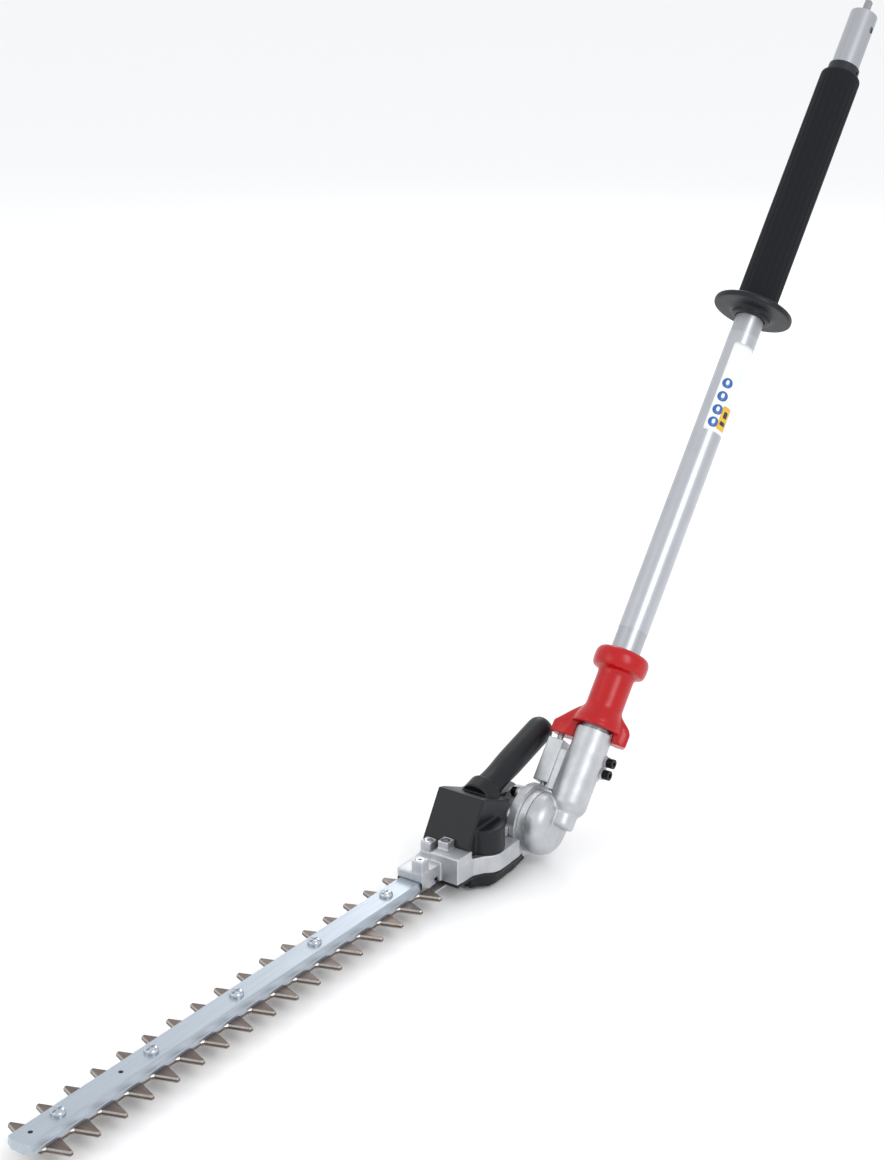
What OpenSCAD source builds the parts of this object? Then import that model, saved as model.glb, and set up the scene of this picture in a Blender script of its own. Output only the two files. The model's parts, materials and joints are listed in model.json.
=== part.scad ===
// Articulated hedge-trimmer head on a pole, driven by a shaft inside the tube.
// Frame: origin at the centre of the tube's coupling end, +X from the blade tip
// towards the coupling end, +Z up. The pole lies in the plane y = 0.

/* [Pole] */
// Angle of the pole above the blades as drawn
pole_tilt = 51; // [39:1:63]
// Distance from the knuckle pivot to the coupling end of the tube
pole_len = 873; // [780:1:1200]
// Outer diameter of the tube
tube_d = 28; // [24:0.5:30]
// Wall of the tube
tube_wall = 1.5; // [1.2:0.1:2]
// Diameter of the drive shaft
shaft_d = 8; // [6:0.5:9]
// How far the drive shaft stands out of the tube
shaft_out = 16; // [8:1:25]
// Length of the tube's turned end that slides into the coupling
coupling_len = 60; // [40:1:61]
// Diameter of the index hole near the coupling end
index_hole_d = 7.5; // [5:0.5:9]
// Distance of the index hole from the coupling end
index_hole_back = 17; // [12:1:30]
// Thickness of the film round the lower tube
film_t = 0.3; // [0.2:0.1:0.6]
// Length of the film
film_len = 312; // [150:1:320]

/* [Rear grip] */
// Length of the foam grip
grip_len = 262; // [150:1:270]
// Diameter of the foam grip
grip_d = 40; // [34:1:48]
// Diameter of the flange below the grip
flange_d = 78; // [60:1:90]
// Thickness of the flange
flange_t = 6; // [4:0.5:8]
// Length of the stop band above the grip
band_len = 9; // [7:0.5:12]

/* [Knuckle] */
// Side distance from the pole axis to the middle of the blades
head_side = 66; // [66:0.5:72]
// Height of the knuckle pivot above the blades' upper face
blade_drop = 20; // [20:0.5:24]
// Radius of the pole housing
housing_r = 17.5; // [17:0.5:20]
// Radius of the round gear housing at the knuckle
bulb_r = 29; // [28:0.5:30]
// Radius of the notched disc
disc_r = 34; // [33:0.5:36]
// Number of lock positions
notch_count = 8; // [4:1:8]
// Angle between lock positions
notch_step = 17; // [15:0.5:17]
// Radius of the trunnion that the head turns on
trunnion_r = 18; // [17:0.5:18.5]
// Diameter of the lock pin
pin_d = 6; // [5:0.5:7]
// Pitch radius of the two bevel gears in the pole housing
pole_bevel_r = 8.5; // [8:0.5:9]
// Teeth on each bevel gear in the pole housing
pole_bevel_n = 14; // [10:1:14]

/* [Head] */
// Teeth on the pinion of the blade drive
pinion_n = 11; // [10:1:12]
// Teeth on the crank gear
crank_n = 40; // [36:1:40]
// Tooth module of the blade drive
drive_mod = 1.4; // [1.35:0.05:1.45]
// Length of the tilt handle outside the cover
handle_len = 107; // [70:1:120]
// Diameter of the tilt handle
handle_d = 26; // [22:0.5:28]
// Rise of the tilt handle above the blades' plane
handle_rise = 16; // [10:1:20]
// Height of the lower gear case
case_h = 17; // [16:0.5:18]
// Depth of the bottom cover
bottom_h = 15; // [14.5:0.5:18]

/* [Blades] */
// Number of teeth on each side
teeth = 17; // [8:1:20]
// Distance from tooth to tooth
pitch = 28.8; // [27:0.2:32]
// Half width over the tooth tips
blade_half = 31.75; // [27:0.25:34]
// Thickness of one blade
blade_t = 2.2; // [2:0.1:2.4]
// Height of the guide bar
bar_h = 8.8; // [6:0.2:10]
// Half width of the guide bar's top
bar_half = 11; // [10:0.5:11.5]
// Number of bolts through the guide bar
bolts = 5; // [3:1:6]

/* [Hidden] */
$fn = 48;
run_fit = 0.05;      // radial clearance of a shaft in its bearing
gap = 0.2;           // clearance between parts that move past each other
hair = 0.1;          // clearance between parts that are bolted together
cut = 1;             // overrun of a cutting body

end_cut = 0.25;      // depth of the cut that turns the tube's coupling end

pivot_x = -pole_len * cos(pole_tilt);
pivot_z = -pole_len * sin(pole_tilt);

// Blade drive: crank axis ahead of the pivot by the gears' centre distance
spine = 12.4;                       // half width of a blade's spine
throw = pitch / 4;                  // eccentric offset, half the blade stroke
neck_r = 4;                         // crank shaft between the eccentrics
ecc_r = throw * sqrt(2) + neck_r + 0.4;
ring_r = ecc_r + 2.6;               // outside of a connecting rod's ring
foot_r = 8.5;                       // bearing under the pinion shaft
crank_back = max((pinion_n + crank_n) * drive_mod / 2, throw + ring_r + foot_r + 2.5);
gear_mod = 2 * crank_back / (pinion_n + crank_n);
pinion_r = pinion_n * gear_mod / 2;
crank_r = crank_n * gear_mod / 2;
chamber_r = crank_r + 1.3;
rod_len = 65;                       // crank axis to blade pin
root_len = 103.5;                   // crank axis to the nearest tooth
first_tooth = -root_len - (teeth - 1) * pitch;
bolt_first = first_tooth + 19.4;
bolt_step = ((teeth - 1) * pitch - 57.6) / (bolts - 1);

// Heights in the head, from the blades' upper face
upper_top = -0.1;
upper_low = upper_top - blade_t;
lower_top = upper_low - gap;
lower_low = lower_top - blade_t;
rod_t = 2.2;
upper_rod_z = 0.3;
lower_rod_z = lower_low - 0.3 - rod_t;
ecc_t = 2.2;
upper_ecc_z = upper_rod_z + rod_t + 0.3;
lower_ecc_z = lower_rod_z - 0.3 - ecc_t;
gear_z = upper_ecc_z + ecc_t;
gear_t = 4;
floor_z = lower_ecc_z - 0.2;        // top of the base plate
base_t = 2.6;
crank_shaft_r = 6;
upper_shaft_r = 4;                  // vertical pinion shaft
case_wall = 4;

// Knuckle, measured along y from the pole axis
bulb_y0 = 2;
bulb_y1 = 21.3;
cover_y1 = 28;
disc_y0 = 28.3;
disc_y1 = 36;
lock_y = 32;
side = max(head_side, disc_y1 + chamber_r + 0.7);
drum_y1 = side - 13.8;
drum_r = 28;
pivot_shaft_r = 5;
transfer_r = 10;                    // pitch radius of the two bevel gears in the head
transfer_n = 16;
bearing_r = 13;
bearing_t = 8;
case_screw_r = bulb_r - 4.4;
case_screw_turn = 27;
flange_screw_r = disc_r - 3.6;

// Pole housing, measured along the pole from the pivot
housing_low = 12;
housing_top = 96;
tube_seat = 46;
pinion_bearing_at = 27;
clamp_at = [62.5, 74];
clamp_n = tube_d / 2 + 2.8;                       // clamp screws' distance from the pole axis
guide_low = disc_r + 2.3;
guide_top = 79;
guide_w = 16;
spring_low = guide_low + 11;
spring_top = 74;

// Release sleeve
sleeve_low = 88;
sleeve_travel = 10;
collar_low = 154;
collar_top = 175;
collar_r = 26;
sleeve_r = 17.6;
hood_r = housing_r + 6;

film_low = 197;
grip_top = pole_len - 71;
flange_low = grip_top - grip_len - flange_t;

// ---- frames ----

// Pole frame: origin on the pivot, z up the pole, x to its underside
module at_pole() {
    translate([pivot_x, 0, pivot_z]) rotate([0, 90 - pole_tilt, 0]) children();
}

// Head frame: origin on the crank axis at the blades' upper face
module at_head() {
    translate([pivot_x - crank_back, side, pivot_z - blade_drop]) children();
}

// Same directions as the head frame, origin on the pivot axis at the pole's plane
module at_pivot() {
    translate([pivot_x, 0, pivot_z]) children();
}

// ---- shapes ----

// Cylinder along +y from y0 to y1
module y_rod(r, y0, y1) {
    translate([0, y0, 0]) rotate([-90, 0, 0]) cylinder(r = r, h = y1 - y0);
}

module z_rod(r, z0, z1) {
    translate([0, 0, z0]) cylinder(r = r, h = z1 - z0);
}

module tube(r, bore, z0, z1) {
    difference() {
        z_rod(r, z0, z1);
        z_rod(bore, z0 - cut, z1 + cut);
    }
}

module y_tube(r, bore, y0, y1) {
    difference() {
        y_rod(r, y0, y1);
        y_rod(bore, y0 - cut, y1 + cut);
    }
}

// Round bar with one rounded end, low end at z0
module domed(r, z0, z1, c) {
    rotate_extrude() {
        translate([0, z0 + c]) square([r, z1 - z0 - c]);
        translate([0, z0]) square([r - c, c + hair]);
        intersection() {
            translate([r - c, z0 + c]) circle(c);
            translate([0, z0]) square([r, c + hair]);
        }
    }
}

// Socket-head screw pointing down, head on z = 0
module socket_screw(head_r, head_h, r, len) {
    difference() {
        union() {
            z_rod(head_r, 0, head_h);
            z_rod(r, -len, 0.01);
        }
        translate([0, 0, head_h * 0.45]) cylinder(r = head_r * 0.55, h = head_h, $fn = 6);
    }
}

// Outline of a gear with straight-sided teeth, tooth 0 centred on +x
module gear_outline(n, r, add, ded) {
    step = 360 / n;
    polygon([for (i = [0 : n - 1]) for (k = [[-0.25, 0], [-0.1, 1], [0.1, 1], [0.25, 0]])
        let (a = (i + k[0]) * step, q = k[1] == 1 ? r + add : r - ded) [q * cos(a), q * sin(a)]]);
}

// Bevel gear with its cone's tip at the origin and its back at z = r
module bevel(n, r, face, add) {
    translate([0, 0, r]) mirror([0, 0, 1])
        linear_extrude(height = face, scale = (r - face) / r) gear_outline(n, r, add, add * 1.4);
}

// ---- pole ----

module main_tube() {
    color("silver") at_pole() difference() {
        union() {
            z_rod(tube_d / 2, tube_seat, pole_len - coupling_len);
            z_rod(tube_d / 2 - end_cut, tube_seat, pole_len);
        }
        z_rod(tube_d / 2 - tube_wall, tube_seat - cut, pole_len + cut);
        translate([0, 0, pole_len - index_hole_back]) rotate([90, 0, 0])
            z_rod(index_hole_d / 2, 0, tube_d);
    }
}

module tube_film() {
    color("lightgray") at_pole() tube(tube_d / 2 + film_t, tube_d / 2, film_low, film_low + film_len);
}

module grip_flange() {
    color("dimgray") at_pole() difference() {
        union() {
            z_rod(flange_d / 2, flange_low, flange_low + flange_t);
            z_rod(tube_d / 2 + 5, flange_low - 6, flange_low + cut);
        }
        z_rod(tube_d / 2, flange_low - 6 - cut, grip_top);
    }
}

module rear_grip() {
    color("dimgray") at_pole() difference() {
        rotate_extrude() {
            translate([tube_d / 2, flange_low + flange_t]) square([grip_d / 2 - tube_d / 2, grip_len - 3]);
            translate([tube_d / 2, grip_top - 4]) square([grip_d / 2 - tube_d / 2 - 3, 4]);
            translate([grip_d / 2 - 3, grip_top - 3]) circle(3);
        }
        z_rod(tube_d / 2, flange_low, grip_top + cut);
    }
}

module stop_band() {
    color("dimgray") at_pole() difference() {
        tube(tube_d / 2 + 1.6, tube_d / 2, grip_top + 0.3, grip_top + 0.3 + band_len);
        for (a = [-90, -50]) rotate([0, 0, a]) translate([0, 0, grip_top + 0.3 + band_len / 2])
            rotate([0, 90, 0]) z_rod(1.6, tube_d / 2 - cut, tube_d);
    }
}

module band_screws() {
    color("black") at_pole() for (a = [-90, -50]) rotate([0, 0, a])
        translate([0, 0, grip_top + 0.3 + band_len / 2]) rotate([0, 90, 0])
            z_rod(1.5, tube_d / 2 + hair, tube_d / 2 + 2.4);
}

module shaft_bushes() {
    color("gray") at_pole() for (s = [120, 360, 600, 820] * pole_len / 873)
        tube(tube_d / 2 - tube_wall, shaft_d / 2 + run_fit, s, s + 18);
}

// The gear housing's cover is held by one screw from the near side and two under the disc
module case_screw_at() {
    rotate([0, -case_screw_turn, 0]) translate([case_screw_r, 0, 0]) children();
}

module cover_screws_at() {
    for (a = [154, -95]) rotate([0, -a, 0]) translate([case_screw_r, 0, 0]) children();
}

module pole_case() {
    room = pole_bevel_r + 1.5;
    color("silver") at_pole() difference() {
        union() {
            domed(housing_r, housing_low, housing_top, 13);
            rotate([-90, 0, 0]) domed(bulb_r, bulb_y0, bulb_y1, 13);
            domed(room + 2.4, 0.5, housing_low + 6, 3);
            // clamp ears on the underside
            translate([clamp_n - 9, -10, clamp_at[0] - 8]) cube([14, 20, clamp_at[1] - clamp_at[0] + 16]);
            // bosses under the screw heads
            for (s = clamp_at) translate([clamp_n, 0, s]) y_rod(5.6, -15, -9);
            case_screw_at() y_rod(5.6, 6, bulb_y1 - 0.3);
            // foot that joins the lock guide
            translate([-8, 10, bulb_r + 2]) cube([16, lock_y - guide_w / 2 - 10, guide_top - bulb_r - 10]);
        }
        z_rod(room, 3, 22);
        y_rod(room, bulb_y0 + 1.4, bulb_y1 + cut);
        z_rod(bearing_r, 20, 41);
        z_rod(tube_d / 2, 40, housing_top + cut);
        y_rod(bulb_r - 7.7, 14, bulb_y1 + cut);
        translate([0, -1, clamp_at[0] - 9]) cube([housing_r * 2, 2, clamp_at[1] - clamp_at[0] + 18]);
        for (s = clamp_at) translate([clamp_n, 0, s]) y_rod(2.6, -25, 8);
        case_screw_at() y_rod(2.1, 0, bulb_y1 + cut);
        case_screw_at() y_rod(4.5, -3, 7);
        cover_screws_at() y_rod(2.1, 14, bulb_y1 + cut);
    }
}

module pinion_bearings() {
    color("gray") at_pole() for (s = [20.2, 29.2])
        tube(bearing_r, shaft_d / 2 + run_fit, s, s + bearing_t);
}

module clamp_screws() {
    color("black") at_pole() for (s = clamp_at) translate([clamp_n, -15, s]) rotate([90, 0, 0])
        socket_screw(4.6, 6.5, 2.5, 22);
}

module case_screws() {
    color("black") at_pole() {
        case_screw_at() translate([0, 7, 0]) rotate([90, 0, 0]) socket_screw(4.3, 6.5, 2, 18.5);
        cover_screws_at() translate([0, cover_y1 - 2.8, 0]) rotate([-90, 0, 0]) socket_screw(3.6, 2.6, 2, 11);
    }
}

module case_cover() {
    color("silver") at_pole() difference() {
        y_rod(bulb_r, bulb_y1, cover_y1);
        y_rod(trunnion_r + run_fit, bulb_y1 - cut, cover_y1 + cut);
        case_screw_at() y_rod(2.1, bulb_y1 - cut, 25.6);
        cover_screws_at() y_rod(2.1, bulb_y1 - cut, cover_y1);
        cover_screws_at() y_rod(3.7, cover_y1 - 2.8, cover_y1 + cut);
    }
}

module lock_guide() {
    color("silver") at_pole() translate([0, lock_y, 0]) difference() {
        translate([-guide_w / 2, -guide_w / 2, guide_low]) cube([guide_w, guide_w, guide_top - guide_low]);
        z_rod(pin_d / 2 + run_fit, guide_low - cut, guide_top);
        z_rod(6.6, guide_low + 7, guide_top + cut);
    }
}

module guide_cap() {
    color("slategray") at_pole() translate([0, lock_y, 0]) tube(6.6, pin_d / 2 + run_fit, spring_top, guide_top);
}

// Flat-wire coil, one turn per 3.5 mm
module lock_spring() {
    turns = 7;
    coil_h = spring_top - spring_low - 0.4;
    color("gray") at_pole() translate([0, lock_y, spring_low + 0.2])
        linear_extrude(height = coil_h, twist = -360 * turns, slices = turns * 12, $fn = 12) polygon(concat(
            [for (a = [0 : 42 : 126]) [6.2 * cos(a), 6.2 * sin(a)]],
            [for (a = [126 : -42 : 0]) [4.8 * cos(a), 4.8 * sin(a)]]));
}

module drive_shaft() {
    color("gray") at_pole() difference() {
        z_rod(shaft_d / 2, pole_bevel_r + 1, pole_len + shaft_out);
        for (a = [0 : 90 : 270]) rotate([0, 0, a])
            translate([shaft_d * 0.42, -shaft_d, pole_len + 1]) cube([shaft_d, shaft_d * 2, shaft_out]);
    }
}

module pole_pinion() {
    color("gray") at_pole() difference() {
        union() {
            rotate([0, 0, 90]) bevel(pole_bevel_n, pole_bevel_r, 3.5, 0.7);
            z_rod(6.5, pole_bevel_r - 0.1, 20);
        }
        z_rod(shaft_d / 2, pole_bevel_r + 1, 21);
    }
}

// ---- idler on the pivot axis ----

module idler_gear() {
    half = 180 / pole_bevel_n;
    color("gray") at_pole() difference() {
        union() {
            rotate([-90, 0, 0]) rotate([0, 0, -90 + half]) bevel(pole_bevel_n, pole_bevel_r, 3.5, 0.7);
            y_rod(6.5, pole_bevel_r - 0.1, 19);
        }
        y_rod(pivot_shaft_r, pole_bevel_r + 1, 20);
    }
}

module pivot_shaft() {
    color("gray") at_pivot() y_rod(pivot_shaft_r, pole_bevel_r + 1, side - transfer_r);
}

module transfer_gear() {
    color("gray") at_pivot() difference() {
        union() {
            translate([0, side, 0]) rotate([90, 0, 0]) bevel(transfer_n, transfer_r, 4, 0.7);
            y_rod(6.5, side - 15, side - transfer_r);
        }
        y_rod(pivot_shaft_r, 0, side - transfer_r);
    }
}

// ---- release sleeve ----

module release_sleeve() {
    bore = tube_d / 2 + gap;
    color("crimson") at_pole() difference() {
        union() {
            z_rod(sleeve_r, 98, collar_top - 3);
            z_rod(collar_r, collar_low, collar_top - 7);
            translate([0, 0, collar_top - 7]) cylinder(r1 = collar_r, r2 = sleeve_r, h = 7);
            z_rod(hood_r, sleeve_low, 102);
            translate([0, 0, 102]) cylinder(r1 = hood_r, r2 = sleeve_r, h = 10);
            // near side wing
            translate([-8, -30, 93]) cube([16, 20, 10]);
            // arm that carries the lock pin
            translate([-11, 0, 84]) cube([22, lock_y + 9, 13]);
        }
        z_rod(housing_r + 0.5, 80, housing_top + 1.5);
        translate([-20, 0, 80]) cube([40, lock_y - 10.5, 8]);
        z_rod(bore, 80, collar_top + cut);
        translate([0, lock_y, 80]) z_rod(pin_d / 2, 0, 14);
    }
}

module lock_pin() {
    color("slategray") at_pole() translate([0, lock_y, 0]) {
        z_rod(pin_d / 2, disc_r - 6, 94);
        z_rod(6.2, spring_low - 3, spring_low);
    }
}

// ---- knuckle on the head's side ----

module flange_screws_at() {
    for (a = [107, 150, 253]) rotate([0, -a, 0]) translate([flange_screw_r, 0, 0]) children();
}

module notch_disc() {
    color("silver") at_pivot() difference() {
        union() {
            y_rod(disc_r, disc_y0, disc_y1);
            y_rod(trunnion_r, bulb_y1 - 2.2, disc_y0 + cut);
        }
        for (k = [0 : notch_count - 1]) rotate([0, -(pole_tilt - k * notch_step), 0])
            translate([disc_r - 6.3, lock_y - pin_d / 2 - gap, -pin_d / 2 - gap])
                cube([disc_r, pin_d + 2 * gap, pin_d + 2 * gap]);
        flange_screws_at() y_rod(2, disc_y0 + 1.5, disc_y1 + cut);
        y_rod(bearing_r, 22, disc_y1 + cut);
        y_rod(8.6, 0, 30);
        y_tube(trunnion_r + cut, trunnion_r - 1.4, 19.5, 20.9);
    }
}

module trunnion_ring() {
    color("gray") at_pivot() y_tube(trunnion_r + 2.2, trunnion_r - 1.4, 19.6, 20.8);
}

module trunnion_bearing() {
    color("gray") at_pivot() y_tube(bearing_r, pivot_shaft_r + run_fit, 23, 23 + bearing_t);
}

module flange_screws() {
    color("black") at_pivot() flange_screws_at() translate([0, disc_y1 + 4, 0]) rotate([-90, 0, 0])
        socket_screw(4.4, 5, 2, 9.5);
}

// Plan of the gear case in the head frame
module case_plan() {
    circle(chamber_r + case_wall);
    polygon([[-107, -13.5], [-78, -13.5], [-78, -32], [-55, -33], [-28.4, -47], [-0.4, -46],
             [24.6, -42], [crank_back - 3, -13], [crank_back + 16.6, -13], [crank_back + 16.6, 14],
             [24, 26], [-0.4, chamber_r + 3], [-44.4, 22], [-60.4, 13.5], [-107, 13.5]]);
    translate([-29, -28]) circle(19);
}

// Room of the pole-side knuckle that the head's castings keep clear of
module knuckle_room(grow) {
    translate([crank_back, -side, blade_drop]) {
        y_rod(drum_r + grow, disc_y1 - 10, drum_y1 + hair);
        y_rod(disc_r + 0.8, -60, disc_y1 + hair);
        y_rod(pivot_shaft_r + 7.5, drum_y1 - cut, side - 3);
        flange_screws_at() y_rod(6, disc_y1 - cut, disc_y1 + 11);
    }
}

// Bearing carrier over the crank gear, with the tower round the upright shaft
module tower(grow) {
    top = blade_drop + transfer_r + 12 + grow;
    z_rod(chamber_r + case_wall + grow, case_h - cut, 27 + grow);
    translate([crank_back, 0, 0]) z_rod(14.4 + grow, case_h - cut, top);
    translate([8 - grow, -14.4 - grow, case_h - cut])
        cube([crank_back - 8 + grow, 28.8 + 2 * grow, top - case_h + cut]);
}

module upper_case() {
    color("silver") difference() {
        union() {
            at_pivot() y_rod(drum_r, disc_y1, drum_y1);
            at_pivot() flange_screws_at() y_rod(5.2, disc_y1, disc_y1 + 4);
            at_head() difference() {
                tower(0);
                translate([0, 0, case_h + hair - 50]) cube([200, 200, 100], center = true);
                translate([crank_back, -side, blade_drop]) y_rod(disc_r + 0.8, -60, disc_y1 + gap);
            }
        }
        at_pivot() {
            y_rod(bearing_r, disc_y1 - cut, disc_y1 + 10);
            y_rod(9, disc_y1 - cut, side);
            y_rod(transfer_r + 1.8, drum_y1 - 1.6, side - 4);
            flange_screws_at() y_rod(2.1, disc_y1 - cut, disc_y1 + 5);
            flange_screws_at() y_rod(4.7, disc_y1 + 4, disc_y1 + 11);
        }
        at_head() {
            z_rod(14, 0, 25.6);
            z_rod(chamber_r, -50, gear_z + gear_t + 1);
            translate([crank_back, 0, 0]) {
                z_rod(transfer_r + 2, 0, 33);
                z_rod(11, 32.5, 40.2);
                z_rod(5.5, 32, 50);
                translate([-transfer_r - 1.5, -side + drum_y1 - 1, blade_drop - transfer_r - 1.5])
                    cube([2 * transfer_r + 3, 12, 20]);
            }
            for (p = cover_points) translate([p[0], p[1], 0]) z_rod(1.6, 20, 80);
        }
    }
}

module drum_bearing() {
    color("gray") at_pivot() y_tube(bearing_r, pivot_shaft_r + run_fit, disc_y1 + 2, disc_y1 + 2 + bearing_t);
}

// Nose over the guide bar's end, with its shoulder block and three screw bosses
module nose(grow) {
    translate([0, 13.5 + grow, 0]) rotate([90, 0, 0]) linear_extrude(height = 27 + 2 * grow)
        polygon([[-107, 1], [-107, 12.5], [-88, 14.5], [-68, 20], [-55 + grow, 20 + grow], [-55 + grow, 1]]);
    translate([-78, -32 - grow, 1]) cube([23 + grow, 30, 23.7 + grow]);
    for (p = nose_points) translate([p[0] - 5.5 - grow, p[1] - 5.5 - grow, 2])
        cube([11 + 2 * grow, 11 + 2 * grow, p[2] - 2 + grow]);
}

module lower_case() {
    color("silver") at_head() difference() {
        union() {
            linear_extrude(height = case_h) case_plan();
            nose(0);
            translate([crank_back, 0, 0]) z_rod(foot_r + 2, floor_z + 1, 4);
            for (p = bottom_points) translate([p[0], p[1], 0]) z_rod(4.2, max(p[2] + 1.3, floor_z + hair), 4);
        }
        // gear room, open above and below
        z_rod(chamber_r, -cut, case_h + 10);
        translate([-82, -10.5, -cut]) cube([30, 21, 8]);
        translate([-58, -13, -cut]) cube([40, 26, 8]);
        translate([crank_back, 0, 0]) z_rod(pinion_r + gear_mod + 1, 0.6, case_h + cut);
        translate([crank_back, 0, 0]) z_rod(foot_r, -7, 0.7);
        translate([crank_back, 0, 0]) z_rod(5, floor_z, 0);
        // seat for the guide bar's end
        translate([-108, -bar_half - 2.2, -cut]) cube([23, (bar_half + 2.2) * 2, bar_h + cut + hair]);
        // arch that lets chaff out
        translate([-85.4, 0, 0]) y_rod(6, -20, 20);
        knuckle_room(hair);
        for (p = nose_points) translate([p[0], p[1], 0]) z_rod(2.6, p[2] - 12, p[2] + cut);
        for (p = nose_points) translate([p[0], p[1], 0]) z_rod(4.1, p[2] - 2.5, p[2] + cut);
        for (p = bottom_points) translate([p[0], p[1], 0]) z_rod(2.1, floor_z - cut, 10);
    }
}
nose_points = [[-101, -7.5, 29], [-62, -8, 32], [-66, 8, 29]];
rim_h = 3;
bottom_points = [[-33, -33, -bottom_h], [-66, -24, -rim_h], [crank_back + 12, 9.4, -bottom_h], [-38, 18, -bottom_h]];

// Side view of the top cover, shrunk by w
module cover_side(w) {
    low = case_h + hair - w;
    polygon([[-62 + w, low], [-58.4 + w, 26], [-34 + w, 66 - w], [-26.4, 64 - w], [1.6, 52 - w],
             [crank_back, 45 - w], [crank_back + 16.6 - w, 44 - w], [crank_back + 16.6 - w, low]]);
}

module cover_body(w) {
    intersection() {
        translate([0, 20 - w, 0]) rotate([90, 0, 0]) linear_extrude(height = 50 - 2 * w) cover_side(w);
        union() {
            translate([-100, -50, 0]) cube([109 - w, 100, 100]);
            translate([0, -16.8 + w, 0]) cube([crank_back, 36.8 - 2 * w, 100]);
            translate([crank_back, 0, 0]) z_rod(16.8 - w, 0, 100);
        }
    }
    translate([-29, -28, case_h + hair - w]) z_rod(18 - w, 0, 24);
}

module handle_axis() {
    translate([-14.4, -8, 53]) rotate([0, 90 - handle_rise, 0]) children();
}

module top_cover() {
    color("dimgray") at_head() difference() {
        union() {
            cover_body(0);
            // socket for the handle
            intersection() {
                handle_axis() z_rod(handle_d / 2 + 3, 0, 16);
                translate([-60, -40, 30]) cube([200, 60, 100]);
            }
        }
        difference() {
            cover_body(2.6);
            handle_axis() z_rod(11, -12, 20);
        }
        tower(hair);
        knuckle_room(hair);
        nose(hair);
        handle_axis() z_rod(handle_d / 2 + hair, 8, 200);
        handle_axis() z_rod(6, -8, 20);
        for (p = cover_points) translate([p[0], p[1], 0]) z_rod(1.9, 40, 80);
        for (p = cover_points) translate([p[0], p[1], 0]) z_rod(4, p[2], 80);
    }
}
cover_points = [[17, 10, 43.5], [17, -10, 43.5]];

module cover_screws() {
    color("black") at_head() for (p = cover_points) translate([p[0], p[1], p[2]]) socket_screw(3.8, 2.5, 1.6, 12);
}

module tilt_handle() {
    color("dimgray") at_head() handle_axis() difference() {
        translate([0, 0, 12 + handle_len]) rotate([180, 0, 0]) domed(handle_d / 2, 0, handle_len + 4, 12);
        z_rod(6, 0, handle_len - 10);
    }
}

module handle_core() {
    color("gray") at_head() handle_axis() z_rod(6, -8, handle_len - 10);
}

module crank_bearing() {
    color("gray") at_head() tube(14, crank_shaft_r + run_fit, 17.5, 25.5);
}

module shaft_bearings() {
    color("gray") at_head() translate([crank_back, 0, 0]) {
        tube(11, upper_shaft_r + run_fit, 33.1, 40.1);
        tube(foot_r, upper_shaft_r + run_fit, -7, 0);
    }
}

// Plan of the deep part of the bottom cover
module pan_plan() {
    intersection() {
        case_plan();
        translate([0, 6]) case_plan();
        translate([-52, -60]) square([140, 120]);
    }
}

module base_plate() {
    color("silver") at_head() difference() {
        union() {
            translate([0, 0, floor_z - base_t]) linear_extrude(height = base_t) difference() {
                offset(delta = -2.6) pan_plan();
                circle(8.5);
                for (p = bottom_points) translate([p[0], p[1]]) circle(2.1);
            }
            // tongue under the nose
            translate([-93, -13.4, lower_rod_z - 2.6]) cube([46, 26.8, 2.2]);
            translate([-49.4, -13.4, floor_z - base_t]) cube([2.4, 26.8, lower_rod_z - 0.4 - floor_z + base_t]);
        }
        knuckle_room(0.3);
    }
}

module crank_bush() {
    color("darkgoldenrod") at_head() tube(8.5, crank_shaft_r + run_fit, floor_z - base_t, floor_z);
}

module bottom_cover() {
    color("dimgray") at_head() difference() {
        union() {
            translate([0, 0, -rim_h]) linear_extrude(height = rim_h - hair) intersection() {
                case_plan();
                translate([-78, -60]) square([140, 120]);
            }
            translate([0, 0, -bottom_h]) linear_extrude(height = bottom_h - hair) pan_plan();
        }
        translate([0, 0, floor_z - base_t - hair]) linear_extrude(height = bottom_h) offset(delta = -2.4) pan_plan();
        translate([-88, -13.6, lower_rod_z - 2.7]) cube([60, 27.2, 20]);
        translate([crank_back, 0, 0]) z_rod(foot_r + 2.3, floor_z - base_t, cut);
        for (p = bottom_points) translate([p[0], p[1], 0]) z_rod(2.1, -bottom_h - cut, cut);
        for (p = bottom_points) translate([p[0], p[1], 0]) z_rod(4.4, max(p[2] + 1.2, floor_z - base_t), cut);
        knuckle_room(0.3);
    }
}

module bottom_screws() {
    color("black") at_head() for (p = bottom_points) translate(p) rotate([180, 0, 0]) socket_screw(4, 2.4, 2, 8 - p[2]);
}

module nose_screws() {
    color("silver") at_head() for (p = nose_points) translate([p[0], p[1], p[2] - 2.4]) socket_screw(3.9, 2.2, 2.5, 9);
}

// ---- cutting bar ----

module bolts_at() {
    for (i = [0 : bolts - 1]) translate([bolt_first + i * bolt_step, 0, 0]) children();
}

module guide_bar() {
    tip = first_tooth - 23;
    end = -86;
    color("lightsteelblue") at_head() difference() {
        intersection() {
            translate([tip, 0, 0]) rotate([90, 0, 90]) linear_extrude(height = end - tip) polygon([
                [-bar_half - 2, 0], [-bar_half - 2, 2.4], [-bar_half - 1, 3], [-bar_half, bar_h - 1],
                [-bar_half + 1, bar_h], [bar_half - 1, bar_h], [bar_half, bar_h - 1],
                [bar_half + 1, 3], [bar_half + 2, 2.4], [bar_half + 2, 0]]);
            linear_extrude(height = bar_h) polygon([[tip, -6], [tip + 7, -20], [end, -20], [end, 20],
                [tip + 7, 20], [tip, 6]]);
        }
        bolts_at() z_rod(3.1, -cut, bar_h + cut);
        for (x = [tip + 14, bolt_first + bolt_step * 0.66]) translate([x, 0, 0]) z_rod(2, -cut, bar_h + cut);
    }
}

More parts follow.
